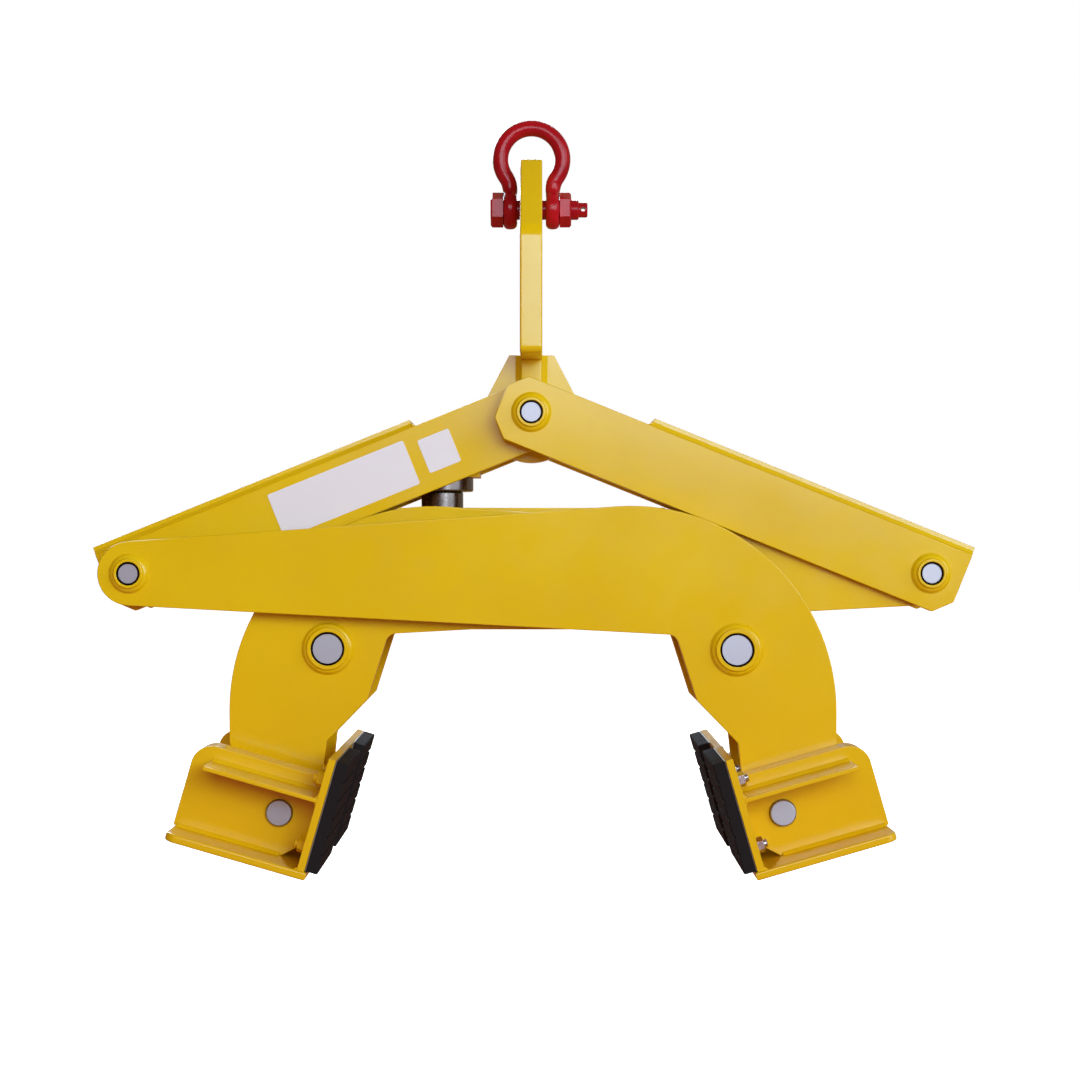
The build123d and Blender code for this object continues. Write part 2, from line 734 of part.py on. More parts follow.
backing_face = face_in + backing_thick
pad_length = foot_length / 2 - pad_inset - pad_gap / 2
pad_starts = (-pad_gap / 2 - pad_length, pad_gap / 2)

with BuildPart() as pad_backings:
    for start in pad_starts:
        add(foot_block((face_in, -pad_down), (backing_face, face_up), start, pad_length).part)
keep_both(pad_backings, "right_pad_backings", "left_pad_backings")

with BuildPart() as pads:
    for start in pad_starts:
        add(foot_block((backing_face, -pad_down), (backing_face + pad_thick, face_up), start, pad_length).part)
    grip = pads.faces().filter_by(Plane(origin=(0, 0, 0), z_dir=inward)).sort_by(Axis(origin=(0, 0, 0), direction=inward))
    chamfer(grip[-2:].edges(), pad_chamfer)
keep_both(pads, "right_pads", "left_pads")

with BuildPart() as pad_studs:
    with BuildSketch(stud_plane(face_in)):
        with Locations(*stud_spots):
            Circle(stud_r)
    extrude(amount=face_thick + stud_nut_height + stud_proud)
    with BuildSketch(stud_plane(face_back)):
        with Locations(*stud_spots):
            RegularPolygon(stud_nut_r, 6, rotation=30)
    extrude(amount=stud_nut_height)
keep_both(pad_studs, "right_pad_studs", "left_pad_studs")
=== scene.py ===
"""Looks of a barrier grab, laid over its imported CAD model.

Metres, +Z up, -Y towards the viewer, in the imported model's own frame. The file is laid out as an add-on
and run as a script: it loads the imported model, then each operator makes one group of pieces.
"""
import json
from math import atan2, ceil, cos, pi, radians, sin

import bpy
from bpy.props import FloatProperty, FloatVectorProperty, PointerProperty
from mathutils import Matrix, Vector

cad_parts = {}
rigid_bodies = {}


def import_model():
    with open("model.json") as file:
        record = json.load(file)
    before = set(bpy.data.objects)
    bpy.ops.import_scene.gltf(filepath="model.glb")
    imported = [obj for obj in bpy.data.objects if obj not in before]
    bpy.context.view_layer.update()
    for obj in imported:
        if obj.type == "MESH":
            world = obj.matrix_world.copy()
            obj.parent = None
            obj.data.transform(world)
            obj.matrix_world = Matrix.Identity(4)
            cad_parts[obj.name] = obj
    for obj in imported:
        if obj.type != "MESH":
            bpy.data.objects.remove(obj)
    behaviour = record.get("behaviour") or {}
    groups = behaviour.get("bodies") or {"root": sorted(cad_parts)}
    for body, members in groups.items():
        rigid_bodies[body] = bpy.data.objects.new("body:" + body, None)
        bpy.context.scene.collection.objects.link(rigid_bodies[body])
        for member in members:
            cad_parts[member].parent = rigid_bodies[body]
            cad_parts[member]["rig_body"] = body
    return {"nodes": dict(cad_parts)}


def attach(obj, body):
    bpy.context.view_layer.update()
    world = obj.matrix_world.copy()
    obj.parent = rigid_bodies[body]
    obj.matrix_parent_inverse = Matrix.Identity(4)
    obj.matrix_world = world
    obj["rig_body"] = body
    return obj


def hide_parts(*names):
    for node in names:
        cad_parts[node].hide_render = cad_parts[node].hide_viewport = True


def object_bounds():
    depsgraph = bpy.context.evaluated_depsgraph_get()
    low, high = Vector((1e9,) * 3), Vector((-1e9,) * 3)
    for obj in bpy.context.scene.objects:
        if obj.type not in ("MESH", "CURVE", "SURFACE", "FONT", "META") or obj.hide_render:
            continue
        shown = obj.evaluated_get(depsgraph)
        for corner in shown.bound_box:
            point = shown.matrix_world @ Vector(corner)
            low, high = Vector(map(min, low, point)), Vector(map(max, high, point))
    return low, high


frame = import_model()
nodes = frame["nodes"]
cad_low, cad_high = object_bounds()

bl_info = {
    "name": "Barrier grab looks",
    "version": (1, 0, 0),
    "blender": (4, 5, 0),
    "location": "3D View > Sidebar > Grab",
    "description": "Dresses the packed barrier grab: rounded steelwork, welds, pads, fasteners and finishes",
    "category": "Object",
}


def linear(code):
    """A linear RGBA colour from an sRGB hex value."""
    parts = [int(code[i:i + 2], 16) / 255 for i in (0, 2, 4)]
    return tuple(c / 12.92 if c <= 0.04045 else ((c + 0.055) / 1.055) ** 2.4 for c in parts) + (1.0,)


class GrabSizes(bpy.types.PropertyGroup):
    """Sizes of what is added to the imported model."""
    plate_round: FloatProperty(
        name="Plate rounding", description="How far thick plates' edges are rounded",
        default=0.0015, unit="LENGTH")
    thin_round: FloatProperty(
        name="Thin rounding", description="How far the edges of thin plates and small parts are rounded",
        default=0.0009, unit="LENGTH")
    weld_pitch: FloatProperty(
        name="Weld pitch", description="Distance from one weld ripple to the next",
        default=0.005, unit="LENGTH")
    weld_leg: FloatProperty(
        name="Weld leg", description="Leg of the welds on the feet",
        default=0.005, unit="LENGTH")
    boss_leg: FloatProperty(
        name="Boss weld leg", description="Leg of the welds round the bosses",
        default=0.0085, unit="LENGTH")
    weld_dip: FloatProperty(
        name="Weld dip", description="How far a weld narrows between its ripples, as a share of it",
        default=0.1, min=0.0, max=0.5)
    tread_wide: FloatProperty(
        name="Tread width", description="Width of the grooves in the rubber",
        default=0.005, unit="LENGTH")
    tread_deep: FloatProperty(
        name="Tread depth", description="Depth of the grooves in the rubber",
        default=0.003, unit="LENGTH")
    tread_pitch: FloatVectorProperty(
        name="Tread pitch", description="Spacing of the upright and of the level grooves",
        size=2, default=(0.038, 0.026), unit="LENGTH")
    forging_grain: FloatProperty(
        name="Forging detail", description="Smallest detail kept on the shackle's forged bow",
        default=0.0012, unit="LENGTH")
    thread_pitch: FloatProperty(
        name="Thread pitch", description="Pitch of the shackle bolt's thread",
        default=0.0025, unit="LENGTH")
    stud_pitch: FloatProperty(
        name="Stud pitch", description="Pitch of the pad studs' thread",
        default=0.00175, unit="LENGTH")
    label: FloatVectorProperty(
        name="Label", description="Length, width and corner radius of the blank label",
        size=3, default=(0.213, 0.068, 0.003), unit="LENGTH")
    sticker: FloatVectorProperty(
        name="Sticker", description="Length, width and corner radius of the square sticker",
        size=3, default=(0.049, 0.051, 0.003), unit="LENGTH")
    vinyl_thick: FloatProperty(
        name="Vinyl thickness", description="Thickness of the label and the sticker",
        default=0.0004, unit="LENGTH")
    floor_gap: FloatProperty(
        name="Floor gap", description="How far the grab hangs clear of the floor, with room for its fold",
        default=0.37, unit="LENGTH")


class GrabColours(bpy.types.PropertyGroup):
    """Colours of the finishes."""
    yellow: FloatVectorProperty(
        name="Yellow enamel", description="Paint of the steelwork",
        size=4, subtype="COLOR", default=linear("EDC60C"))
    yellow_deep: FloatVectorProperty(
        name="Deep yellow", description="The same paint where it lies thinner",
        size=4, subtype="COLOR", default=linear("E8BF08"))
    # Painted shade: a darker, more orange yellow that stands in for the dimmer light on the feet
    yellow_painted_shade: FloatVectorProperty(
        name="Low yellow", description="The same paint on the feet, a little more orange",
        size=4, subtype="COLOR", default=linear("E9B80B"))
    red: FloatVectorProperty(
        name="Red enamel", description="Paint of the shackle",
        size=4, subtype="COLOR", default=linear("BC1420"))
    red_deep: FloatVectorProperty(
        name="Deep red", description="The shackle's paint where it lies thinner",
        size=4, subtype="COLOR", default=linear("980D18"))
    steel: FloatVectorProperty(
        name="Pin steel", description="Turned ends of the pins",
        size=4, subtype="COLOR", default=linear("B4B3BB"))
    ring: FloatVectorProperty(
        name="Black ring", description="Retaining rings",
        size=4, subtype="COLOR", default=linear("1E1612"))
    latch: FloatVectorProperty(
        name="Latch steel", description="Oiled steel of the latch",
        size=4, subtype="COLOR", default=linear("7A726E"))
    rubber: FloatVectorProperty(
        name="Rubber", description="Pads",
        size=4, subtype="COLOR", default=linear("221F1F"))
    zinc: FloatVectorProperty(
        name="Zinc", description="Plated studs and nuts",
        size=4, subtype="COLOR", default=linear("D6D3DA"))
    backing: FloatVectorProperty(
        name="Backing", description="Steel sheet behind the rubber",
        size=4, subtype="COLOR", default=linear("A3A19A"))
    vinyl: FloatVectorProperty(
        name="Vinyl", description="Blank label and sticker",
        size=4, subtype="COLOR", default=linear("ECE8EA"))
    floor: FloatVectorProperty(
        name="Floor", description="Studio floor",
        size=4, subtype="COLOR", default=linear("F4F4F2"))


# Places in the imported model, repeated from its source. First the pivots, in the middle plane
HUB = Vector((0, 0, -0.413))
LINK_END = Vector((-0.575, 0, -0.645))
FULCRUM = Vector((0.294, 0, -0.754))
FOOT = Vector((0.354, 0, -0.9805))
# The slope of the feet, and the links' length between their pins
FOOT_TILT = radians(16.1)
LINK_LENGTH = (LINK_END - HUB).length
# How far the outer and the inner plate's face lie from the middle plane, in a link and in an arm
LINK_OUTER, LINK_INNER = 0.086, 0.050
ARM_OUTER, ARM_INNER = 0.104, 0.068
# How far the bosses stand off those faces, and their radius round the links' pins and round the fulcrum pins
BOSS_STAND, LINK_BOSS, FULCRUM_BOSS = 0.011, 0.02081, 0.03011
# The back of a foot's face plate, inwards from its pin
FACE_BACK = 0.051
# Points of a mesh that are no further apart than this are one point
SAME_POINT = 1e-5


def frame_at(origin, x, z):
    """A matrix at a point, whose x and z axes point the given ways and whose y follows from them."""
    x, z = Vector(x).normalized(), Vector(z).normalized()
    return Matrix.Translation(origin) @ Matrix((x, z.cross(x), z)).transposed().to_4x4()


# One frame along the left link from the hub pin, with y towards its inner plate, and one in the right foot,
# inwards, along and up; the other side's are half a turn on
HALF_TURN = Matrix.Rotation(pi, 4, "Z")
ALONG = (LINK_END - HUB) / LINK_LENGTH
LEFT_LINK = frame_at(HUB, ALONG, (ALONG.z, 0, -ALONG.x))
RIGHT_FOOT = frame_at(FOOT, (-cos(FOOT_TILT), 0, -sin(FOOT_TILT)), (-sin(FOOT_TILT), 0, cos(FOOT_TILT)))
LINKS = {"left_link": LEFT_LINK, "right_link": HALF_TURN @ LEFT_LINK}
FEET = {"right_foot": RIGHT_FOOT, "left_foot": HALF_TURN @ RIGHT_FOOT}
ARMS = {"right_arm": Matrix.Identity(4), "left_arm": HALF_TURN}


def only(piece):
    """Selects one object and nothing else."""
    bpy.ops.object.select_all(action="DESELECT")
    piece.select_set(True)
    bpy.context.view_layer.objects.active = piece
    return piece


def drop(piece):
    """Deletes a piece that was only a tool or a pattern."""
    only(piece)
    bpy.ops.object.delete()


def start(name, primitive, **size):
    """Adds a primitive with nothing else selected."""
    bpy.ops.object.select_all(action="DESELECT")
    primitive(**size)
    bpy.context.object.name = name
    return bpy.context.object


def place(piece, matrix):
    """Moves a piece to its place, and puts that place into its mesh."""
    only(piece).matrix_world = matrix @ piece.matrix_world
    bpy.ops.object.transform_apply(location=True, rotation=True, scale=True)
    return piece


def stretch(piece, size):
    """Gives a piece a size along each axis, and puts that and its place into its mesh."""
    piece.scale = size
    bpy.ops.object.transform_apply(location=True, rotation=True, scale=True)
    return piece


def edit_all(piece):
    """Opens a piece in edit mode with all of it selected."""
    only(piece)
    bpy.ops.object.mode_set(mode="EDIT")
    bpy.ops.mesh.select_all(action="SELECT")


def pick(piece, test, kind="FACE"):
    """Selects what passes a test, in edit mode: faces by centre and normal, edges by ends, or points."""
    only(piece)
    bpy.ops.object.mode_set(mode="EDIT")
    bpy.ops.mesh.select_mode(type=kind)
    bpy.ops.mesh.select_all(action="DESELECT")
    bpy.ops.object.mode_set(mode="OBJECT")
    mesh = piece.data
    if kind == "FACE":
        for face in mesh.polygons:
            face.select = test(face.center, face.normal)
    elif kind == "EDGE":
        for edge in mesh.edges:
            edge.select = test(*[mesh.vertices[i].co for i in edge.vertices])
    else:
        for point in mesh.vertices:
            point.select = test(point.co)
    bpy.ops.object.mode_set(mode="EDIT")


def finish_edit():
    """Leaves edit mode."""
    bpy.ops.object.mode_set(mode="OBJECT")


def face_outwards(piece):
    """Turns every face of a closed piece outwards."""
    edit_all(piece)
    bpy.ops.mesh.normals_make_consistent(inside=False)
    finish_edit()
    return piece


def modify(piece, kind, **settings):
    """Adds a modifier and applies it."""
    only(piece)
    modifier = piece.modifiers.new(kind.lower(), kind)
    for name, value in settings.items():
        setattr(modifier, name, value)
    bpy.ops.object.modifier_apply(modifier=modifier.name)
    return piece


def repeat(piece, count, step, **settings):
    """Makes one piece into a row of them, a step apart."""
    return modify(piece, "ARRAY", count=count, use_relative_offset=False, use_constant_offset=True,
                  constant_offset_displace=step, **settings)


def copy_of(piece):
    """A copy of a piece with a mesh of its own."""
    twin = piece.copy()
    twin.data = piece.data.copy()
    bpy.context.scene.collection.objects.link(twin)
    return twin


def joined(name, pieces):
    """Several pieces made into one."""
    bpy.ops.object.select_all(action="DESELECT")
    for piece in pieces:
        piece.select_set(True)
    bpy.context.view_layer.objects.active = pieces[0]
    bpy.ops.object.join()
    bpy.context.object.name = name
    return bpy.context.object


def shade(piece, angle):
    """Shades a piece smooth across edges flatter than an angle, with its broad faces kept flat."""
    only(piece)
    bpy.ops.object.shade_smooth_by_angle(angle=radians(angle))
    modify(piece, "WEIGHTED_NORMAL", keep_sharp=True, weight=100)


def dress(piece, body, slot=None, finish=None, smooth=40):
    """Shades a finished piece, gives it its finish, and lets it ride on its body."""
    shade(piece, smooth)
    piece.data.materials.clear()
    piece.data.materials.append(bpy.data.materials[finish or slot])
    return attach(piece, body)


def merged(node_name, suffix):
    """A copy of a CAD node with its doubles merged and its flat faces made whole."""
    piece = bpy.data.objects.new(node_name + suffix, nodes[node_name].data.copy())
    bpy.context.scene.collection.objects.link(piece)
    edit_all(piece)
    bpy.ops.mesh.remove_doubles(threshold=SAME_POINT)
    bpy.ops.mesh.dissolve_limited(angle_limit=radians(0.5))
    finish_edit()
    return piece


def instead(piece, node_name):
    """Lets a piece stand for a CAD node and on its body."""
    source = nodes[node_name]
    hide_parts(node_name)
    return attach(piece, source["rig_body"])


def rounded(node_name, width, limit=35, test=None):
    """A merged copy of a CAD node with its edges rounded, in its stead.

    With a test, only the sharp edges whose two ends pass it are rounded.
    """
    piece = merged(node_name, "_rounded")
    if test:
        only(piece)
        bpy.ops.object.mode_set(mode="EDIT")
        bpy.ops.mesh.select_mode(type="EDGE")
        bpy.ops.mesh.select_all(action="DESELECT")
        bpy.ops.mesh.edges_select_sharp(sharpness=radians(limit))
        finish_edit()
        mesh = piece.data
        for edge in mesh.edges:
            edge.select = edge.select and test(*[mesh.vertices[i].co for i in edge.vertices])
        bpy.ops.object.mode_set(mode="EDIT")
        bpy.ops.mesh.bevel(offset=width, segments=2, affect="EDGES", clamp_overlap=True, loop_slide=False)
        finish_edit()
    else:
        modify(piece, "BEVEL", width=width, segments=2, limit_method="ANGLE", angle_limit=radians(limit),
               loop_slide=False)
    shade(piece, limit)
    return instead(piece, node_name)


def node(tree, kind, sockets=None, **settings):
    """Adds one shader node with its settings. A socket takes a value, or another node's output."""
    made = tree.nodes.new("ShaderNode" + kind)
    for name, value in settings.items():
        setattr(made, name, value)
    for name, value in (sockets or {}).items():
        if isinstance(value, bpy.types.NodeSocket):
            tree.links.new(value, made.inputs[name])
        else:
            made.inputs[name].default_value = value
    return made


def blank_finish(name, **sockets):
    """A new material with its shader, and the piece's own coordinates to lay patterns by."""
    finish = bpy.data.materials.new(name)
    finish.use_nodes = True
    tree = finish.node_tree
    tree.nodes.clear()
    shader = node(tree, "BsdfPrincipled", {key.replace("_", " "): value for key, value in sockets.items()})
    node(tree, "OutputMaterial", {"Surface": shader.outputs["BSDF"]})
    return tree, shader, node(tree, "TexCoord").outputs["Object"]


# The span that most of a noise pattern's values lie in, and a narrower one that makes its patches plainer
NOISE_SPAN = {"From Min": 0.3, "From Max": 0.7}
NARROW_SPAN = {"From Min": 0.35, "From Max": 0.65}
# The heights from which and down to which enamel goes over to its low colour, a painted shade that is darker
# and more orange towards the feet
PAINTED_SHADE_SPAN = {"From Min": -0.64, "From Max": -0.95}
WHITE = (1.0, 1.0, 1.0, 1.0)


def enamel(name, colour, deep, drift_mm, peel_mm, peel, gloss, dull, shine, tint=WHITE, low=None):
    """Enamel on steel: one colour that drifts a little in depth, the fine swell of orange peel, a soft sheen.

    With a low colour, it goes over to that one towards the feet: a painted shade, darker and more orange
    lower down.
    """
    tree, shader, coords = blank_finish(name, Specular_IOR_Level=shine, Specular_Tint=tint)
    drift = node(tree, "TexNoise", {"Vector": coords, "Scale": 1000 / drift_mm, "Detail": 3.0})
    depth = node(tree, "MapRange", {"Value": drift.outputs["Fac"], **NARROW_SPAN})
    coat = node(tree, "Mix", {0: depth.outputs["Result"], 6: colour, 7: deep}, data_type="RGBA")
    # The low colour is painted shade, laid on by height down to the feet
    if low:
        way = node(tree, "SeparateXYZ", {"Vector": coords})
        fall = node(tree, "MapRange", {"Value": way.outputs["Z"], **PAINTED_SHADE_SPAN})
        coat = node(tree, "Mix", {0: fall.outputs["Result"], 6: coat.outputs[2], 7: low}, data_type="RGBA")
    tree.links.new(coat.outputs[2], shader.inputs["Base Color"])
    haze = node(tree, "TexNoise", {"Vector": coords, "Scale": 1000 / (drift_mm / 4), "Detail": 5.0})
    rough = node(tree, "MapRange", {"Value": haze.outputs["Fac"], **NOISE_SPAN,
                                    "To Min": gloss, "To Max": dull})
    tree.links.new(rough.outputs["Result"], shader.inputs["Roughness"])
    swell = node(tree, "TexNoise", {"Vector": coords, "Scale": 1000 / peel_mm, "Detail": 1.0})
    bump = node(tree, "Bump", {"Height": swell.outputs["Fac"], "Strength": peel, "Distance": 0.0004})
    tree.links.new(bump.outputs["Normal"], shader.inputs["Normal"])


def metal(name, colour, mark_mm, gloss, dull, scuff):
    """Bare or plated steel: a bright even mirror, blurred by fine tool marks and a few dull scuffs."""
    tree, shader, coords = blank_finish(name, Metallic=1.0)
    marks = node(tree, "TexNoise", {"Vector": coords, "Scale": 1000 / mark_mm, "Detail": 6.0})
    rough = node(tree, "MapRange", {"Value": marks.outputs["Fac"], **NOISE_SPAN,
                                    "To Min": gloss, "To Max": dull})
    tree.links.new(rough.outputs["Result"], shader.inputs["Roughness"])
    dark = tuple(c * scuff for c in colour[:3]) + (1.0,)
    tone = node(tree, "Mix", {0: marks.outputs["Fac"], 6: colour, 7: dark}, data_type="RGBA")
    tree.links.new(tone.outputs[2], shader.inputs["Base Color"])
    bump = node(tree, "Bump", {"Height": marks.outputs["Fac"], "Strength": 0.05, "Distance": 0.0002})
    tree.links.new(bump.outputs["Normal"], shader.inputs["Normal"])


def moulded(name, colour, grain_mm, grain, gloss, dull, bloom, shine):
    """Moulded rubber or cast vinyl: an even surface with a fine grain and a faint bloom."""
    tree, shader, coords = blank_finish(name, Specular_IOR_Level=shine)
    patch = node(tree, "TexNoise", {"Vector": coords, "Scale": 1000 / (grain_mm * 12), "Detail": 4.0})
    bloomed = tuple(min(1.0, c * bloom) for c in colour[:3]) + (1.0,)
    tone = node(tree, "Mix", {0: patch.outputs["Fac"], 6: colour, 7: bloomed}, data_type="RGBA")
    tree.links.new(tone.outputs[2], shader.inputs["Base Color"])
    rough = node(tree, "MapRange", {"Value": patch.outputs["Fac"], **NOISE_SPAN,
                                    "To Min": gloss, "To Max": dull})
    tree.links.new(rough.outputs["Result"], shader.inputs["Roughness"])
    fine = node(tree, "TexNoise", {"Vector": coords, "Scale": 1000 / grain_mm, "Detail": 2.0})
    bump = node(tree, "Bump", {"Height": fine.outputs["Fac"], "Strength": grain, "Distance": 0.0003})
    tree.links.new(bump.outputs["Normal"], shader.inputs["Normal"])


class GRAB_OT_stage(bpy.types.Operator):
    """Camera, floor, soft lights and a white surround"""
    bl_idname = "grab.stage"
    bl_label = "Stage"

    def execute(self, context):
        context.scene.view_settings.view_transform = "Standard"
        self.add_camera(context)
        self.add_floor(context)
        self.add_surround(context)
        self.add_lights(context)
        return {"FINISHED"}

    @staticmethod
    def add_camera(context):
        """A level camera 3.13 m in front of the grab; its lens is 70.5 mm on a 36 mm square."""
        spot, sensor_mm, focal_px, frame_px = (0.0126, -3.13, -0.597), 36.0, 2116, 1080
        bpy.ops.object.camera_add(location=spot, rotation=(pi / 2, 0, 0))
        camera = context.object
        camera.data.sensor_width = sensor_mm
        camera.data.lens = sensor_mm * focal_px / frame_px
        camera.data.clip_end = 100.0
        context.scene.camera = camera

    @staticmethod
    def add_floor(context):
        """A floor that shows and takes shadows, but throws no light back up under the grab."""
        height = cad_low.z - context.scene.grab_sizes.floor_gap
        floor = start("floor", bpy.ops.mesh.primitive_circle_add, vertices=96, radius=30, fill_type="NGON",
                      location=(0, 0, height))
        floor.data.materials.append(bpy.data.materials["floor_paint"])
        floor.visible_diffuse = floor.visible_glossy = False

    @staticmethod
    def add_surround(context):
        """A surround that looks white, and lights the grab as a room would.

        The room is dim and warm in front and on the left, paler behind on the right, and lit from below only
        by a weak warm bounce.
        """
        front, bounce = (0.22, 0.1, 0.03, 1), (0.38, 0.17, 0.12, 1)
        left, right = (0.34, 0.19, 0.08, 1), (0.38, 0.34, 0.27, 1)
        world = bpy.data.worlds.new("white_surround")
        context.scene.world = world
        world.use_nodes = True
        tree = world.node_tree
        tree.nodes.clear()
        way = node(tree, "SeparateXYZ", {"Vector": node(tree, "TexCoord").outputs["Generated"]})
        across = node(tree, "MapRange", {"Value": way.outputs["X"], "From Min": -0.5, "From Max": 0.5})
        behind = node(tree, "Mix", {0: across.outputs["Result"], 6: left, 7: right},
                      data_type="RGBA")
        depth = node(tree, "MapRange", {"Value": way.outputs["Y"], "From Min": -0.3, "From Max": 0.3})
        deep = node(tree, "Mix", {0: depth.outputs["Result"], 6: front, 7: behind.outputs[2]},
                    data_type="RGBA")
        height = node(tree, "MapRange", {"Value": way.outputs["Z"], "From Min": -0.1, "From Max": 0.04})
        room = node(tree, "Mix", {0: height.outputs["Result"], 6: bounce, 7: deep.outputs[2]},
                    data_type="RGBA")
        seen = node(tree, "LightPath").outputs["Is Camera Ray"]
        shown = node(tree, "Mix", {0: seen, 6: room.outputs[2], 7: WHITE}, data_type="RGBA")
        surround = node(tree, "Background", {"Color": shown.outputs[2]})
        node(tree, "OutputWorld", {"Surface": surround.outputs["Background"]})

    @staticmethod
    def add_lights(context):
        """Three area lights, all a little cool, aimed at the grab's middle.

        A broad panel over the camera, a little to the right and askew, whose sheen ends across the links; a
        second one well to the right, which leaves the left sides in shade; and one behind.
        """
        cool, middle = (0.8, 0.975, 1.14), Vector((0, 0, -0.6))
        for name, spot, size, askew, power in (("panel", (0.75, -5.0, 0.68), (3.6, 1.8), -14, 130),
                                               ("side", (9.9, -10.2, 3.1), (13.4, 7.4), 0, 1000),
                                               ("rear", (-1.5, 5.5, 2.0), (5.0, 2.4), 0, 270)):
            bpy.ops.object.light_add(type="AREA", location=spot)
            light = context.object
            light.name = name
            light.data.energy = power
            light.data.color = cool
            light.data.shape = "RECTANGLE"
            light.data.size, light.data.size_y = size
            aim = (middle - light.location).to_track_quat("-Z", "Y")
            light.rotation_euler = (aim.to_matrix() @ Matrix.Rotation(radians(askew), 3, "Z")).to_euler()


class GRAB_OT_finishes(bpy.types.Operator):
    """Every finish, and the CAD nodes' own materials"""
    bl_idname = "grab.finishes"
    bl_label = "Finishes"

    def execute(self, context):
        colours = context.scene.grab_colours
        slots = {name: cad.material_slots[0].material.name for name, cad in nodes.items()}
        for material in list(bpy.data.materials):
            material.name = "packed_" + material.name
        # Sprayed yellow alkyd enamel, semi-gloss with a cool sheen: orange peel swells 4 mm across, colour
        # drifts over 16 cm, and the feet get a painted shade, a little darker and more orange
        enamel("yellow_enamel", tuple(colours.yellow), tuple(colours.yellow_deep), drift_mm=160, peel_mm=4.0,
               peel=0.06, gloss=0.14, dull=0.2, shine=0.5, tint=(0.68, 0.96, 1.0, 1.0),
               low=tuple(colours.yellow_painted_shade))
        # Dipped red enamel on a drop forging: a weaker sheen, and the forging's skin shows through as swells
        # 9 mm across
        enamel("red_enamel", tuple(colours.red), tuple(colours.red_deep), drift_mm=60, peel_mm=9.0,
               peel=0.25, gloss=0.15, dull=0.24, shine=0.24)
        # Turned carbon steel, kept bright: marks drawn 1.5 mm apart, coarser than a tool leaves, so that they
        # show
        metal("pin_steel", tuple(colours.steel), mark_mm=1.5, gloss=0.42, dull=0.54, scuff=0.86)
        # Phosphated spring steel: nearly black, with a dull oil sheen
        metal("black_ring", tuple(colours.ring), mark_mm=2.0, gloss=0.4, dull=0.6, scuff=0.6)
        # Turned and oiled steel: grey, with clear highlights and the yellow plates mirrored in it
        metal("latch_steel", tuple(colours.latch), mark_mm=6.0, gloss=0.2, dull=0.3, scuff=0.8)
        # Bright zinc plate: pale and slightly cloudy
        metal("zinc_stud", tuple(colours.zinc), mark_mm=9.0, gloss=0.2, dull=0.32, scuff=0.9)
        # Galvanised sheet: grey, with dull spangles
        metal("backing_steel", tuple(colours.backing), mark_mm=8.0, gloss=0.4, dull=0.6, scuff=0.75)
        # Moulded neoprene: dull black with a faint grey bloom
        moulded("pad_rubber", tuple(colours.rubber), grain_mm=1.5, grain=0.3, gloss=0.75, dull=0.9,
                bloom=1.2, shine=0.05)
        # Cast vinyl: smooth, bright and a little glossy
        moulded("vinyl_film", tuple(colours.vinyl), grain_mm=3.0, grain=0.03, gloss=0.35, dull=0.45,
                bloom=0.97, shine=0.5)
        # Matt floor paint, lit from within so that only the shadows under the grab show on it
        tree, shader, coords = blank_finish("floor_paint", Roughness=0.9, Base_Color=tuple(colours.floor),
                                            Emission_Color=WHITE)
        away = node(tree, "VectorMath", {0: coords}, operation="LENGTH")
        glow = node(tree, "MapRange", {"Value": away.outputs["Value"], "From Min": 1.0, "From Max": 2.2,
                                       "To Min": 0.72, "To Max": 1.0})
        tree.links.new(glow.outputs["Result"], shader.inputs["Emission Strength"])
        for name, cad in nodes.items():
            cad.material_slots[0].material = bpy.data.materials[slots[name]]
        return {"FINISHED"}


class GRAB_OT_steelwork(bpy.types.Operator):
    """Plates of the links, arms, beam, bail and feet, with flame-cut edges dressed round"""
    bl_idname = "grab.steelwork"
    bl_label = "Steelwork"

    def execute(self, context):
        sizes = context.scene.grab_sizes
        sides = ("left", "right")
        # The bail's edges are dressed twice as round as the other plates'
        rounded("bail_plate", 2 * sizes.plate_round)
        thick = ["hub_plate"]
        thick += [f"{side}_{piece}_{face}_plate" for side in sides for piece in ("link", "arm")
                  for face in ("front", "rear")]
        thick += [f"{side}_foot_cheeks" for side in sides]
        thin = ["beam_front_plate", "beam_rear_plate", "beam_top_plate", "latch_bracket"]
        thin += [f"{side}_{piece}" for side in sides for piece in
                 ("link_cap", "arm_back_plate", "foot_face_plate", "foot_sole", "foot_ribs", "pad_backings")]
        for name in thick:
            rounded(name, sizes.plate_round)
        for name in thin:
            rounded(name, sizes.thin_round)
        for side in sides:
            for piece in ("link", "arm"):
                # A boss is rounded at its rim; the foot of its weld stays sharp against the plate
                rounded(f"{side}_{piece}_bosses", sizes.thin_round, 50, self.on_rim)
        return {"FINISHED"}

    @staticmethod
    def on_rim(a, b):
        """True if both ends of an edge lie on the outer face of a boss."""
        rims = [face + BOSS_STAND for face in (LINK_OUTER, ARM_OUTER, ARM_INNER)]
        return any(abs(abs(a.y) - rim) < 1e-4 and abs(abs(b.y) - rim) < 1e-4 for rim in rims)


class GRAB_OT_pins(bpy.types.Operator):
    """Pins and their retaining rings, turned smooth"""
    bl_idname = "grab.pins"
    bl_label = "Pins"

    def execute(self, context):
        small = context.scene.grab_sizes.thin_round / 2
        names = ["hub_pin", "hub_pin_rings", "latch_plunger"]
        names += [f"{side}_{piece}" for side in ("left", "right")
                  for piece in ("end_pin", "end_rings", "fulcrum_pin", "fulcrum_rings", "foot_pin")]
        for name in names:
            rounded(name, small)
        return {"FINISHED"}


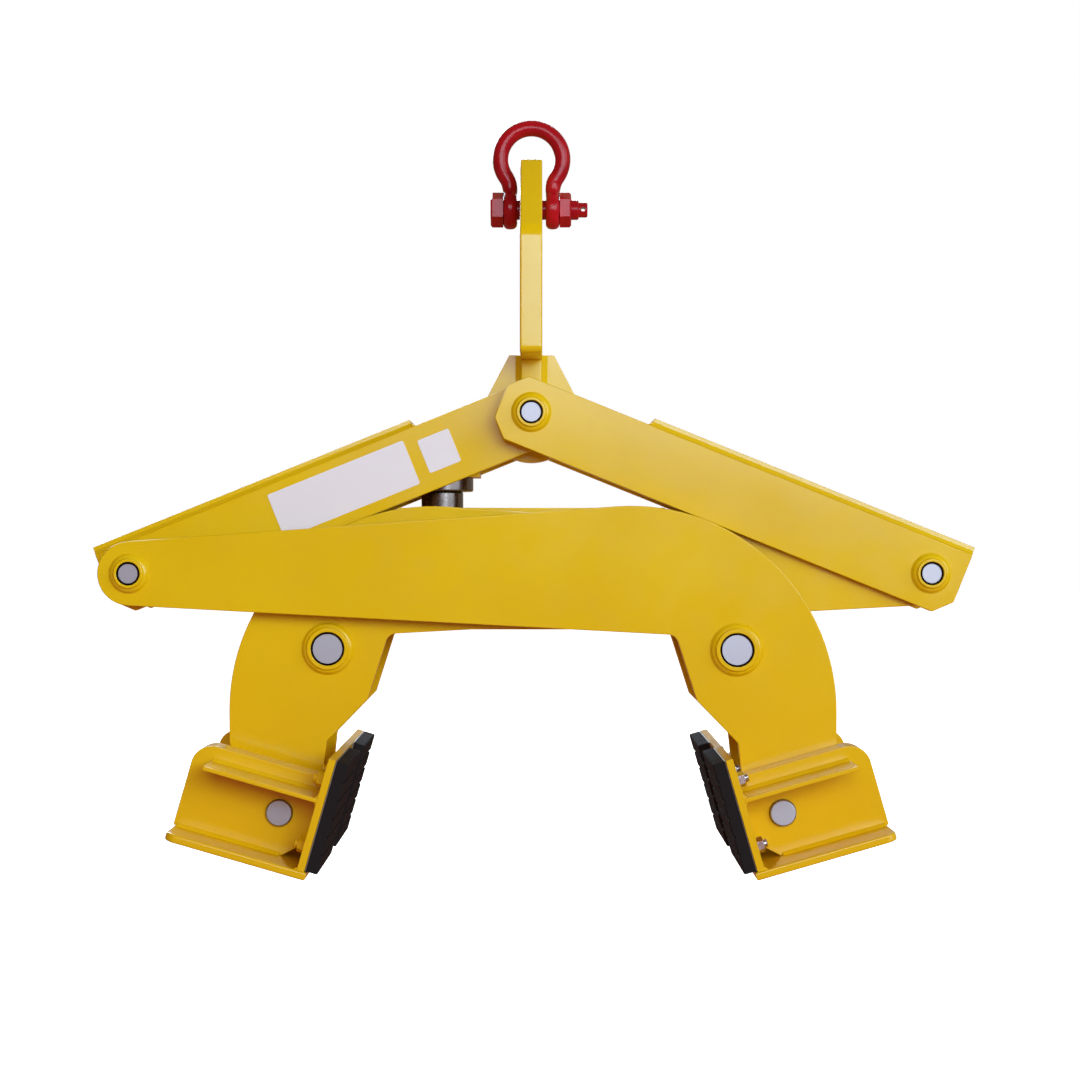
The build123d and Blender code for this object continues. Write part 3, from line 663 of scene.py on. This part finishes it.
def thread(name, radius, pitch, turns, vertices):
    """A threaded end along +Z from the origin: a disc drawn out crest by crest."""
    root = 0.9
    piece = start(name, bpy.ops.mesh.primitive_circle_add, vertices=vertices, radius=radius * root,
                  fill_type="NGON")
    edit_all(piece)
    # Each turn rises to its crest, runs along it and falls to the root; the end is chamfered
    steps = ((0.4, 1 / root), (0.2, 1.0), (0.4, root)) * turns + ((0.3, 0.85),)
    for share, size in steps:
        bpy.ops.mesh.extrude_region_move(TRANSFORM_OT_translate={"value": (0, 0, pitch * share)})
        bpy.ops.transform.resize(value=(size, size, 1))
    finish_edit()
    return face_outwards(piece)


class GRAB_OT_shackle(bpy.types.Operator):
    """Red bow, bolt and nut, with the bolt's thread"""
    bl_idname = "grab.shackle"
    bl_label = "Shackle"

    def execute(self, context):
        sizes = context.scene.grab_sizes
        # The bow is drop forged in one, so between these heights its legs flow into its eyes
        neck_low, neck_high = -0.098, -0.068
        bow = merged("shackle_bow", "_forged")
        modify(bow, "REMESH", mode="VOXEL", voxel_size=sizes.forging_grain)
        modify(bow, "SMOOTH", factor=0.5, iterations=16)
        pick(bow, lambda a: neck_low < a.z < neck_high, "VERT")
        bpy.ops.object.vertex_group_add()
        bpy.ops.object.vertex_group_assign()
        finish_edit()
        modify(bow, "SMOOTH", factor=0.5, iterations=90, vertex_group=bow.vertex_groups[0].name)
        only(bow)
        bpy.ops.object.shade_smooth()
        instead(bow, "shackle_bow")
        rounded("shackle_bolt", sizes.thin_round)
        rounded("shackle_nut", sizes.thin_round)
        # The thread comes out of the nut, from just within its outer face
        thread_from, crest = (0.0583, 0, -0.109), 0.0148
        ridges = thread("shackle_thread", crest, sizes.thread_pitch, turns=4, vertices=48)
        place(ridges, frame_at(thread_from, (0, 0, 1), (1, 0, 0)))
        dress(ridges, "shackle", "red_enamel", smooth=30)
        return {"FINISHED"}


class GRAB_OT_latch(bpy.types.Operator):
    """Oiled latch barrel, flange and post"""
    bl_idname = "grab.latch"
    bl_label = "Latch"

    def execute(self, context):
        for name in ("latch_barrel", "latch_flange", "latch_post"):
            rounded(name, context.scene.grab_sizes.thin_round)
        return {"FINISHED"}


class GRAB_OT_pads(bpy.types.Operator):
    """Rubber pads whose grip faces are grooved into blocks"""
    bl_idname = "grab.pads"
    bl_label = "Pads"

    def execute(self, context):
        sizes = context.scene.grab_sizes
        # Two corners of a pad in its foot's frame, and how far its grip face and its grooves are rounded
        low, high = Vector((0.063, 0.038, -0.056)), Vector((0.080, 0.228, 0.1015))
        face_round, groove_round = 0.0025, 0.0006
        middle, size = (low + high) / 2, high - low
        block = self.box("pad", middle, size)
        pick(block, lambda a, b: min(a.x, b.x) > high.x - 1e-4, "EDGE")
        bpy.ops.mesh.bevel(offset=face_round, segments=3, affect="EDGES")
        finish_edit()
        # One groove of each way, narrowed towards its floor, is made into a row of them
        for across, pitch in zip((1, 2), sizes.tread_pitch):
            # As many as leave about a whole block at each end
            count = int(size[across] / pitch - 0.2)
            spot, bar = middle.copy(), size * 1.2
            spot.x = high.x
            spot[across] -= (count - 1) * pitch / 2
            bar.x, bar[across] = 2 * sizes.tread_deep, sizes.tread_wide
            groove = self.box("groove", spot, bar)
            pick(groove, lambda a, b: max(a.x, b.x) < high.x, "EDGE")
            bpy.ops.mesh.bevel(offset=sizes.tread_wide / 4, segments=2, affect="EDGES")
            finish_edit()
            step = Vector()
            step[across] = pitch
            repeat(groove, count, step)
            modify(block, "BOOLEAN", object=groove, operation="DIFFERENCE", solver="EXACT")
            drop(groove)
        modify(block, "BEVEL", width=groove_round, segments=2, limit_method="ANGLE", angle_limit=radians(50))
        for body, matrix in FEET.items():
            pair = [face_outwards(place(copy_of(block), matrix @ turn))
                    for turn in (Matrix.Identity(4), Matrix.Scale(-1, 4, (0, 1, 0)))]
            pads = joined(body.replace("foot", "pads_moulded"), pair)
            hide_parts(body.replace("foot", "pads"))
            dress(pads, body, "pad_rubber", smooth=45)
        drop(block)
        return {"FINISHED"}

    @staticmethod
    def box(name, middle, size):
        """A box of a size about a point."""
        return stretch(start(name, bpy.ops.mesh.primitive_cube_add, size=1, location=middle), size)


class GRAB_OT_studs(bpy.types.Operator):
    """Pad studs: chamfered nuts on threaded ends"""
    bl_idname = "grab.studs"
    bl_label = "Pad studs"

    def execute(self, context):
        sizes = context.scene.grab_sizes
        # A nut over its corners, its height, and the cone that chamfers its outer end; then the stud in it
        corner_r, tall, cone_r, crown_r, nut_round = 0.011, 0.0105, 0.0275, 0.0093, 0.0005
        stud_r, stud_from = 0.006, 0.0102
        middle = (0, 0, tall / 2)
        nut = start("nut", bpy.ops.mesh.primitive_cylinder_add, vertices=6, radius=corner_r, depth=tall,
                    location=middle, rotation=(0, 0, pi / 6))
        cone = start("cone", bpy.ops.mesh.primitive_cone_add, vertices=48, radius1=cone_r, radius2=crown_r,
                     depth=tall, location=middle)
        modify(nut, "BOOLEAN", object=cone, operation="INTERSECT", solver="EXACT")
        drop(cone)
        modify(nut, "BEVEL", width=nut_round, segments=2, limit_method="ANGLE", angle_limit=radians(40))
        end = thread("stud_end", stud_r, sizes.stud_pitch, turns=3, vertices=24)
        place(end, Matrix.Translation((0, 0, stud_from)))
        stud = place(joined("stud", [nut, end]), Matrix.Identity(4))
        for body, matrix in FEET.items():
            row = []
            for along in (-0.195, -0.078, 0.078, 0.195):
                for up in (-0.0275, 0.067):
                    spot = frame_at((FACE_BACK, along, up), (0, 0, 1), (-1, 0, 0))
                    row.append(place(copy_of(stud), matrix @ spot))
            studs = joined(body.replace("foot", "stud_nuts"), row)
            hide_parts(body.replace("foot", "pad_studs"))
            dress(studs, body, "zinc_stud" if body == "right_foot" else "yellow_enamel", smooth=35)
        drop(stud)
        return {"FINISHED"}


class GRAB_OT_welds(bpy.types.Operator):
    """Rippled weld beads along the seams"""
    bl_idname = "grab.welds"
    bl_label = "Welds"

    def execute(self, context):
        sizes = context.scene.grab_sizes
        self.pitch, self.dip = sizes.weld_pitch, sizes.weld_dip
        self.ripple = self.one_ripple()
        for body, matrix in LINKS.items():
            self.keep(body, self.link_rows(matrix, sizes.boss_leg))
        for body, matrix in ARMS.items():
            rows = [self.ring(matrix, (LINK_END.x, -ARM_OUTER, LINK_END.z), LINK_BOSS, sizes.boss_leg)]
            rows += [self.ring(matrix, (FULCRUM.x, y, FULCRUM.z), FULCRUM_BOSS, sizes.boss_leg)
                     for y in (-ARM_OUTER, ARM_INNER)]
            self.keep(body, rows)
        for body, matrix in FEET.items():
            self.keep(body, self.foot_rows(matrix, sizes.weld_leg))
        # Down both edges of the bail's tongue, front and back
        edge, face, top, bottom, leg = 0.0159, 0.016, -0.326, -0.381, 0.008
        self.keep("hub", [self.row(Matrix.Identity(4), (x, y, top), (x, y, bottom), leg)
                          for x in (-edge, edge) for y in (-face, face)])
        drop(self.ripple)
        return {"FINISHED"}

    def link_rows(self, matrix, boss_leg):
        """Along a cap's edges and across its inner end, on the plates' top edges, and round the bosses."""
        near, far, top, leg = 0.168, LINK_LENGTH + 0.045, 0.047, 0.0047
        inner_edge, outer_edge, inner_end, across = 0.0445, -0.0805, 0.036, 0.008
        rows = [self.row(matrix, (near, y, top), (far, y, top), leg) for y in (inner_edge, outer_edge)]
        rows += [self.row(matrix, (near, y, top), (near, y + across, top), leg)
                 for y in (inner_end, outer_edge)]
        rows += [self.ring(matrix, (x, -LINK_OUTER, 0), LINK_BOSS, boss_leg) for x in (0, LINK_LENGTH)]
        return rows

    def foot_rows(self, matrix, leg):
        """Cheeks on the sole and on the face plate, ribs on both, and the face plate along the sole."""
        # The sole's upper face and its end, the cheeks' outer face with its two seams, and the ribs' faces
        sole, sole_end = -0.0575, 0.227
        cheek, cheek_seam, face_seam = 0.155, (-0.134, 0.016), (-0.024, 0.063)
        ribs, rib_seam, rib_end = (0.0445, 0.0385), (-0.110, 0.048), 0.226
        rows = []
        for side in (1, -1):
            y, end = side * cheek, side * rib_end
            seams = [[(x, y, sole) for x in cheek_seam], [(FACE_BACK, y, z) for z in face_seam]]
            seams += [[(x, y, z) for x in rib_seam] for z in ribs]
            seams += [[(FACE_BACK, y, z), (FACE_BACK, end, z)] for z in ribs]
            rows += [self.row(matrix, *ends, leg) for ends in seams]
        rows.append(self.row(matrix, (FACE_BACK, -sole_end, sole), (FACE_BACK, sole_end, sole), leg))
        return rows

    def one_ripple(self):
        """One ripple of an open bar along +Z, a unit long: four corners a unit out, four flattish sides."""
        bar = start("ripple", bpy.ops.mesh.primitive_circle_add, vertices=8, radius=1)
        pick(bar, lambda a: abs(a.x * a.y) > 0.1, "VERT")
        bpy.ops.transform.resize(value=(0.8, 0.8, 1))
        bpy.ops.mesh.select_all(action="SELECT")
        bpy.ops.transform.resize(value=(1 - self.dip, 1 - self.dip, 1))
        for size in (1 / (1 - self.dip), 1 - self.dip):
            bpy.ops.mesh.extrude_region_move(TRANSFORM_OT_translate={"value": (0, 0, 0.5)})
            bpy.ops.transform.resize(value=(size, size, 1))
        finish_edit()
        return bar

    def row(self, matrix, near, far, leg):
        """A straight bead between two points of a frame, its legs along the frame's axes."""
        near, far = matrix @ Vector(near), matrix @ Vector(far)
        run = far - near
        count = max(2, ceil(run.length / self.pitch))
        axes = matrix.to_3x3()
        side = axes.col[2] if abs(run.normalized() @ axes.col[2]) < 0.9 else axes.col[0]
        size = Matrix.Diagonal((leg, leg, run.length / count, 1))
        bead = place(copy_of(self.ripple), frame_at(near, side, run) @ size)
        repeat(bead, count, run / count, use_merge_vertices=True, merge_threshold=SAME_POINT)
        edit_all(bead)
        bpy.ops.mesh.fill_holes(sides=0)
        finish_edit()
        return face_outwards(bead)

    def ring(self, matrix, centre, ring_r, leg):
        """A round bead about a pin, on a plate's face: a ring narrowed at every second step."""
        count, bead_r = ceil(2 * pi * ring_r / self.pitch), leg * 0.86
        bead = start("ring", bpy.ops.mesh.primitive_torus_add, major_segments=2 * count, minor_segments=12,
                     major_radius=ring_r, minor_radius=bead_r, rotation=(pi / 2, 0, 0), location=centre)
        bpy.ops.object.transform_apply(location=True, rotation=True, scale=True)
        pick(bead, lambda a: round(atan2(a.z - centre[2], a.x - centre[0]) * count / pi) % 2 == 1, "VERT")
        bpy.ops.transform.shrink_fatten(value=-leg * self.dip / 2)
        finish_edit()
        return place(bead, matrix)

    @staticmethod
    def keep(body, rows):
        """One piece of all the beads on a body."""
        dress(joined(body + "_welds", rows), body, "yellow_enamel", smooth=60)


class GRAB_OT_stickers(bpy.types.Operator):
    """A blank label and a blank square sticker on the left link"""
    bl_idname = "grab.stickers"
    bl_label = "Stickers"

    def execute(self, context):
        sizes = context.scene.grab_sizes
        # How far their middles lie along the link
        label_at, sticker_at = 0.2946, 0.1447
        for name, (length, width, corner), along in (("blank_label", sizes.label, label_at),
                                                     ("blank_sticker", sizes.sticker, sticker_at)):
            film = stretch(start(name, bpy.ops.mesh.primitive_plane_add, size=1), (length, width, 1))
            edit_all(film)
            bpy.ops.mesh.extrude_region_move(TRANSFORM_OT_translate={"value": (0, 0, sizes.vinyl_thick)})
            finish_edit()
            face_outwards(film)
            pick(film, lambda a, b: abs(a.z - b.z) > SAME_POINT, "EDGE")
            bpy.ops.mesh.bevel(offset=corner, segments=4, affect="EDGES")
            finish_edit()
            # Two narrow borders within the film's edge
            pick(film, lambda centre, normal: normal.z > 0.9)
            bpy.ops.mesh.inset(thickness=corner * 0.5, depth=0)
            bpy.ops.mesh.inset(thickness=corner * 0.3, depth=0)
            finish_edit()
            place(film, LEFT_LINK @ frame_at((along, LINK_INNER, 0), (1, 0, 0), (0, 1, 0)))
            dress(film, "left_link", finish="vinyl_film")
        return {"FINISHED"}


class GRAB_PT_panel(bpy.types.Panel):
    """The grab's sizes, colours and steps"""
    bl_idname = "GRAB_PT_panel"
    bl_label = "Barrier grab"
    bl_space_type = "VIEW_3D"
    bl_region_type = "UI"
    bl_category = "Grab"

    def draw(self, context):
        for group in (context.scene.grab_sizes, context.scene.grab_colours):
            for name in group.__annotations__:
                self.layout.prop(group, name)
        for step in STEPS:
            self.layout.operator(step.bl_idname)


STEPS = (GRAB_OT_finishes, GRAB_OT_stage, GRAB_OT_steelwork, GRAB_OT_pins, GRAB_OT_shackle, GRAB_OT_latch,
         GRAB_OT_pads, GRAB_OT_studs, GRAB_OT_welds, GRAB_OT_stickers)
CLASSES = (GrabSizes, GrabColours, *STEPS, GRAB_PT_panel)


def register():
    for item in CLASSES:
        bpy.utils.register_class(item)
    bpy.types.Scene.grab_sizes = PointerProperty(type=GrabSizes)
    bpy.types.Scene.grab_colours = PointerProperty(type=GrabColours)


def unregister():
    del bpy.types.Scene.grab_sizes, bpy.types.Scene.grab_colours
    for item in reversed(CLASSES):
        bpy.utils.unregister_class(item)


def main():
    register()
    bpy.ops.grab.finishes()
    bpy.ops.grab.stage()
    bpy.ops.grab.steelwork()
    bpy.ops.grab.pins()
    bpy.ops.grab.shackle()
    bpy.ops.grab.latch()
    bpy.ops.grab.pads()
    bpy.ops.grab.studs()
    bpy.ops.grab.welds()
    bpy.ops.grab.stickers()


if __name__ == "__main__":
    main()
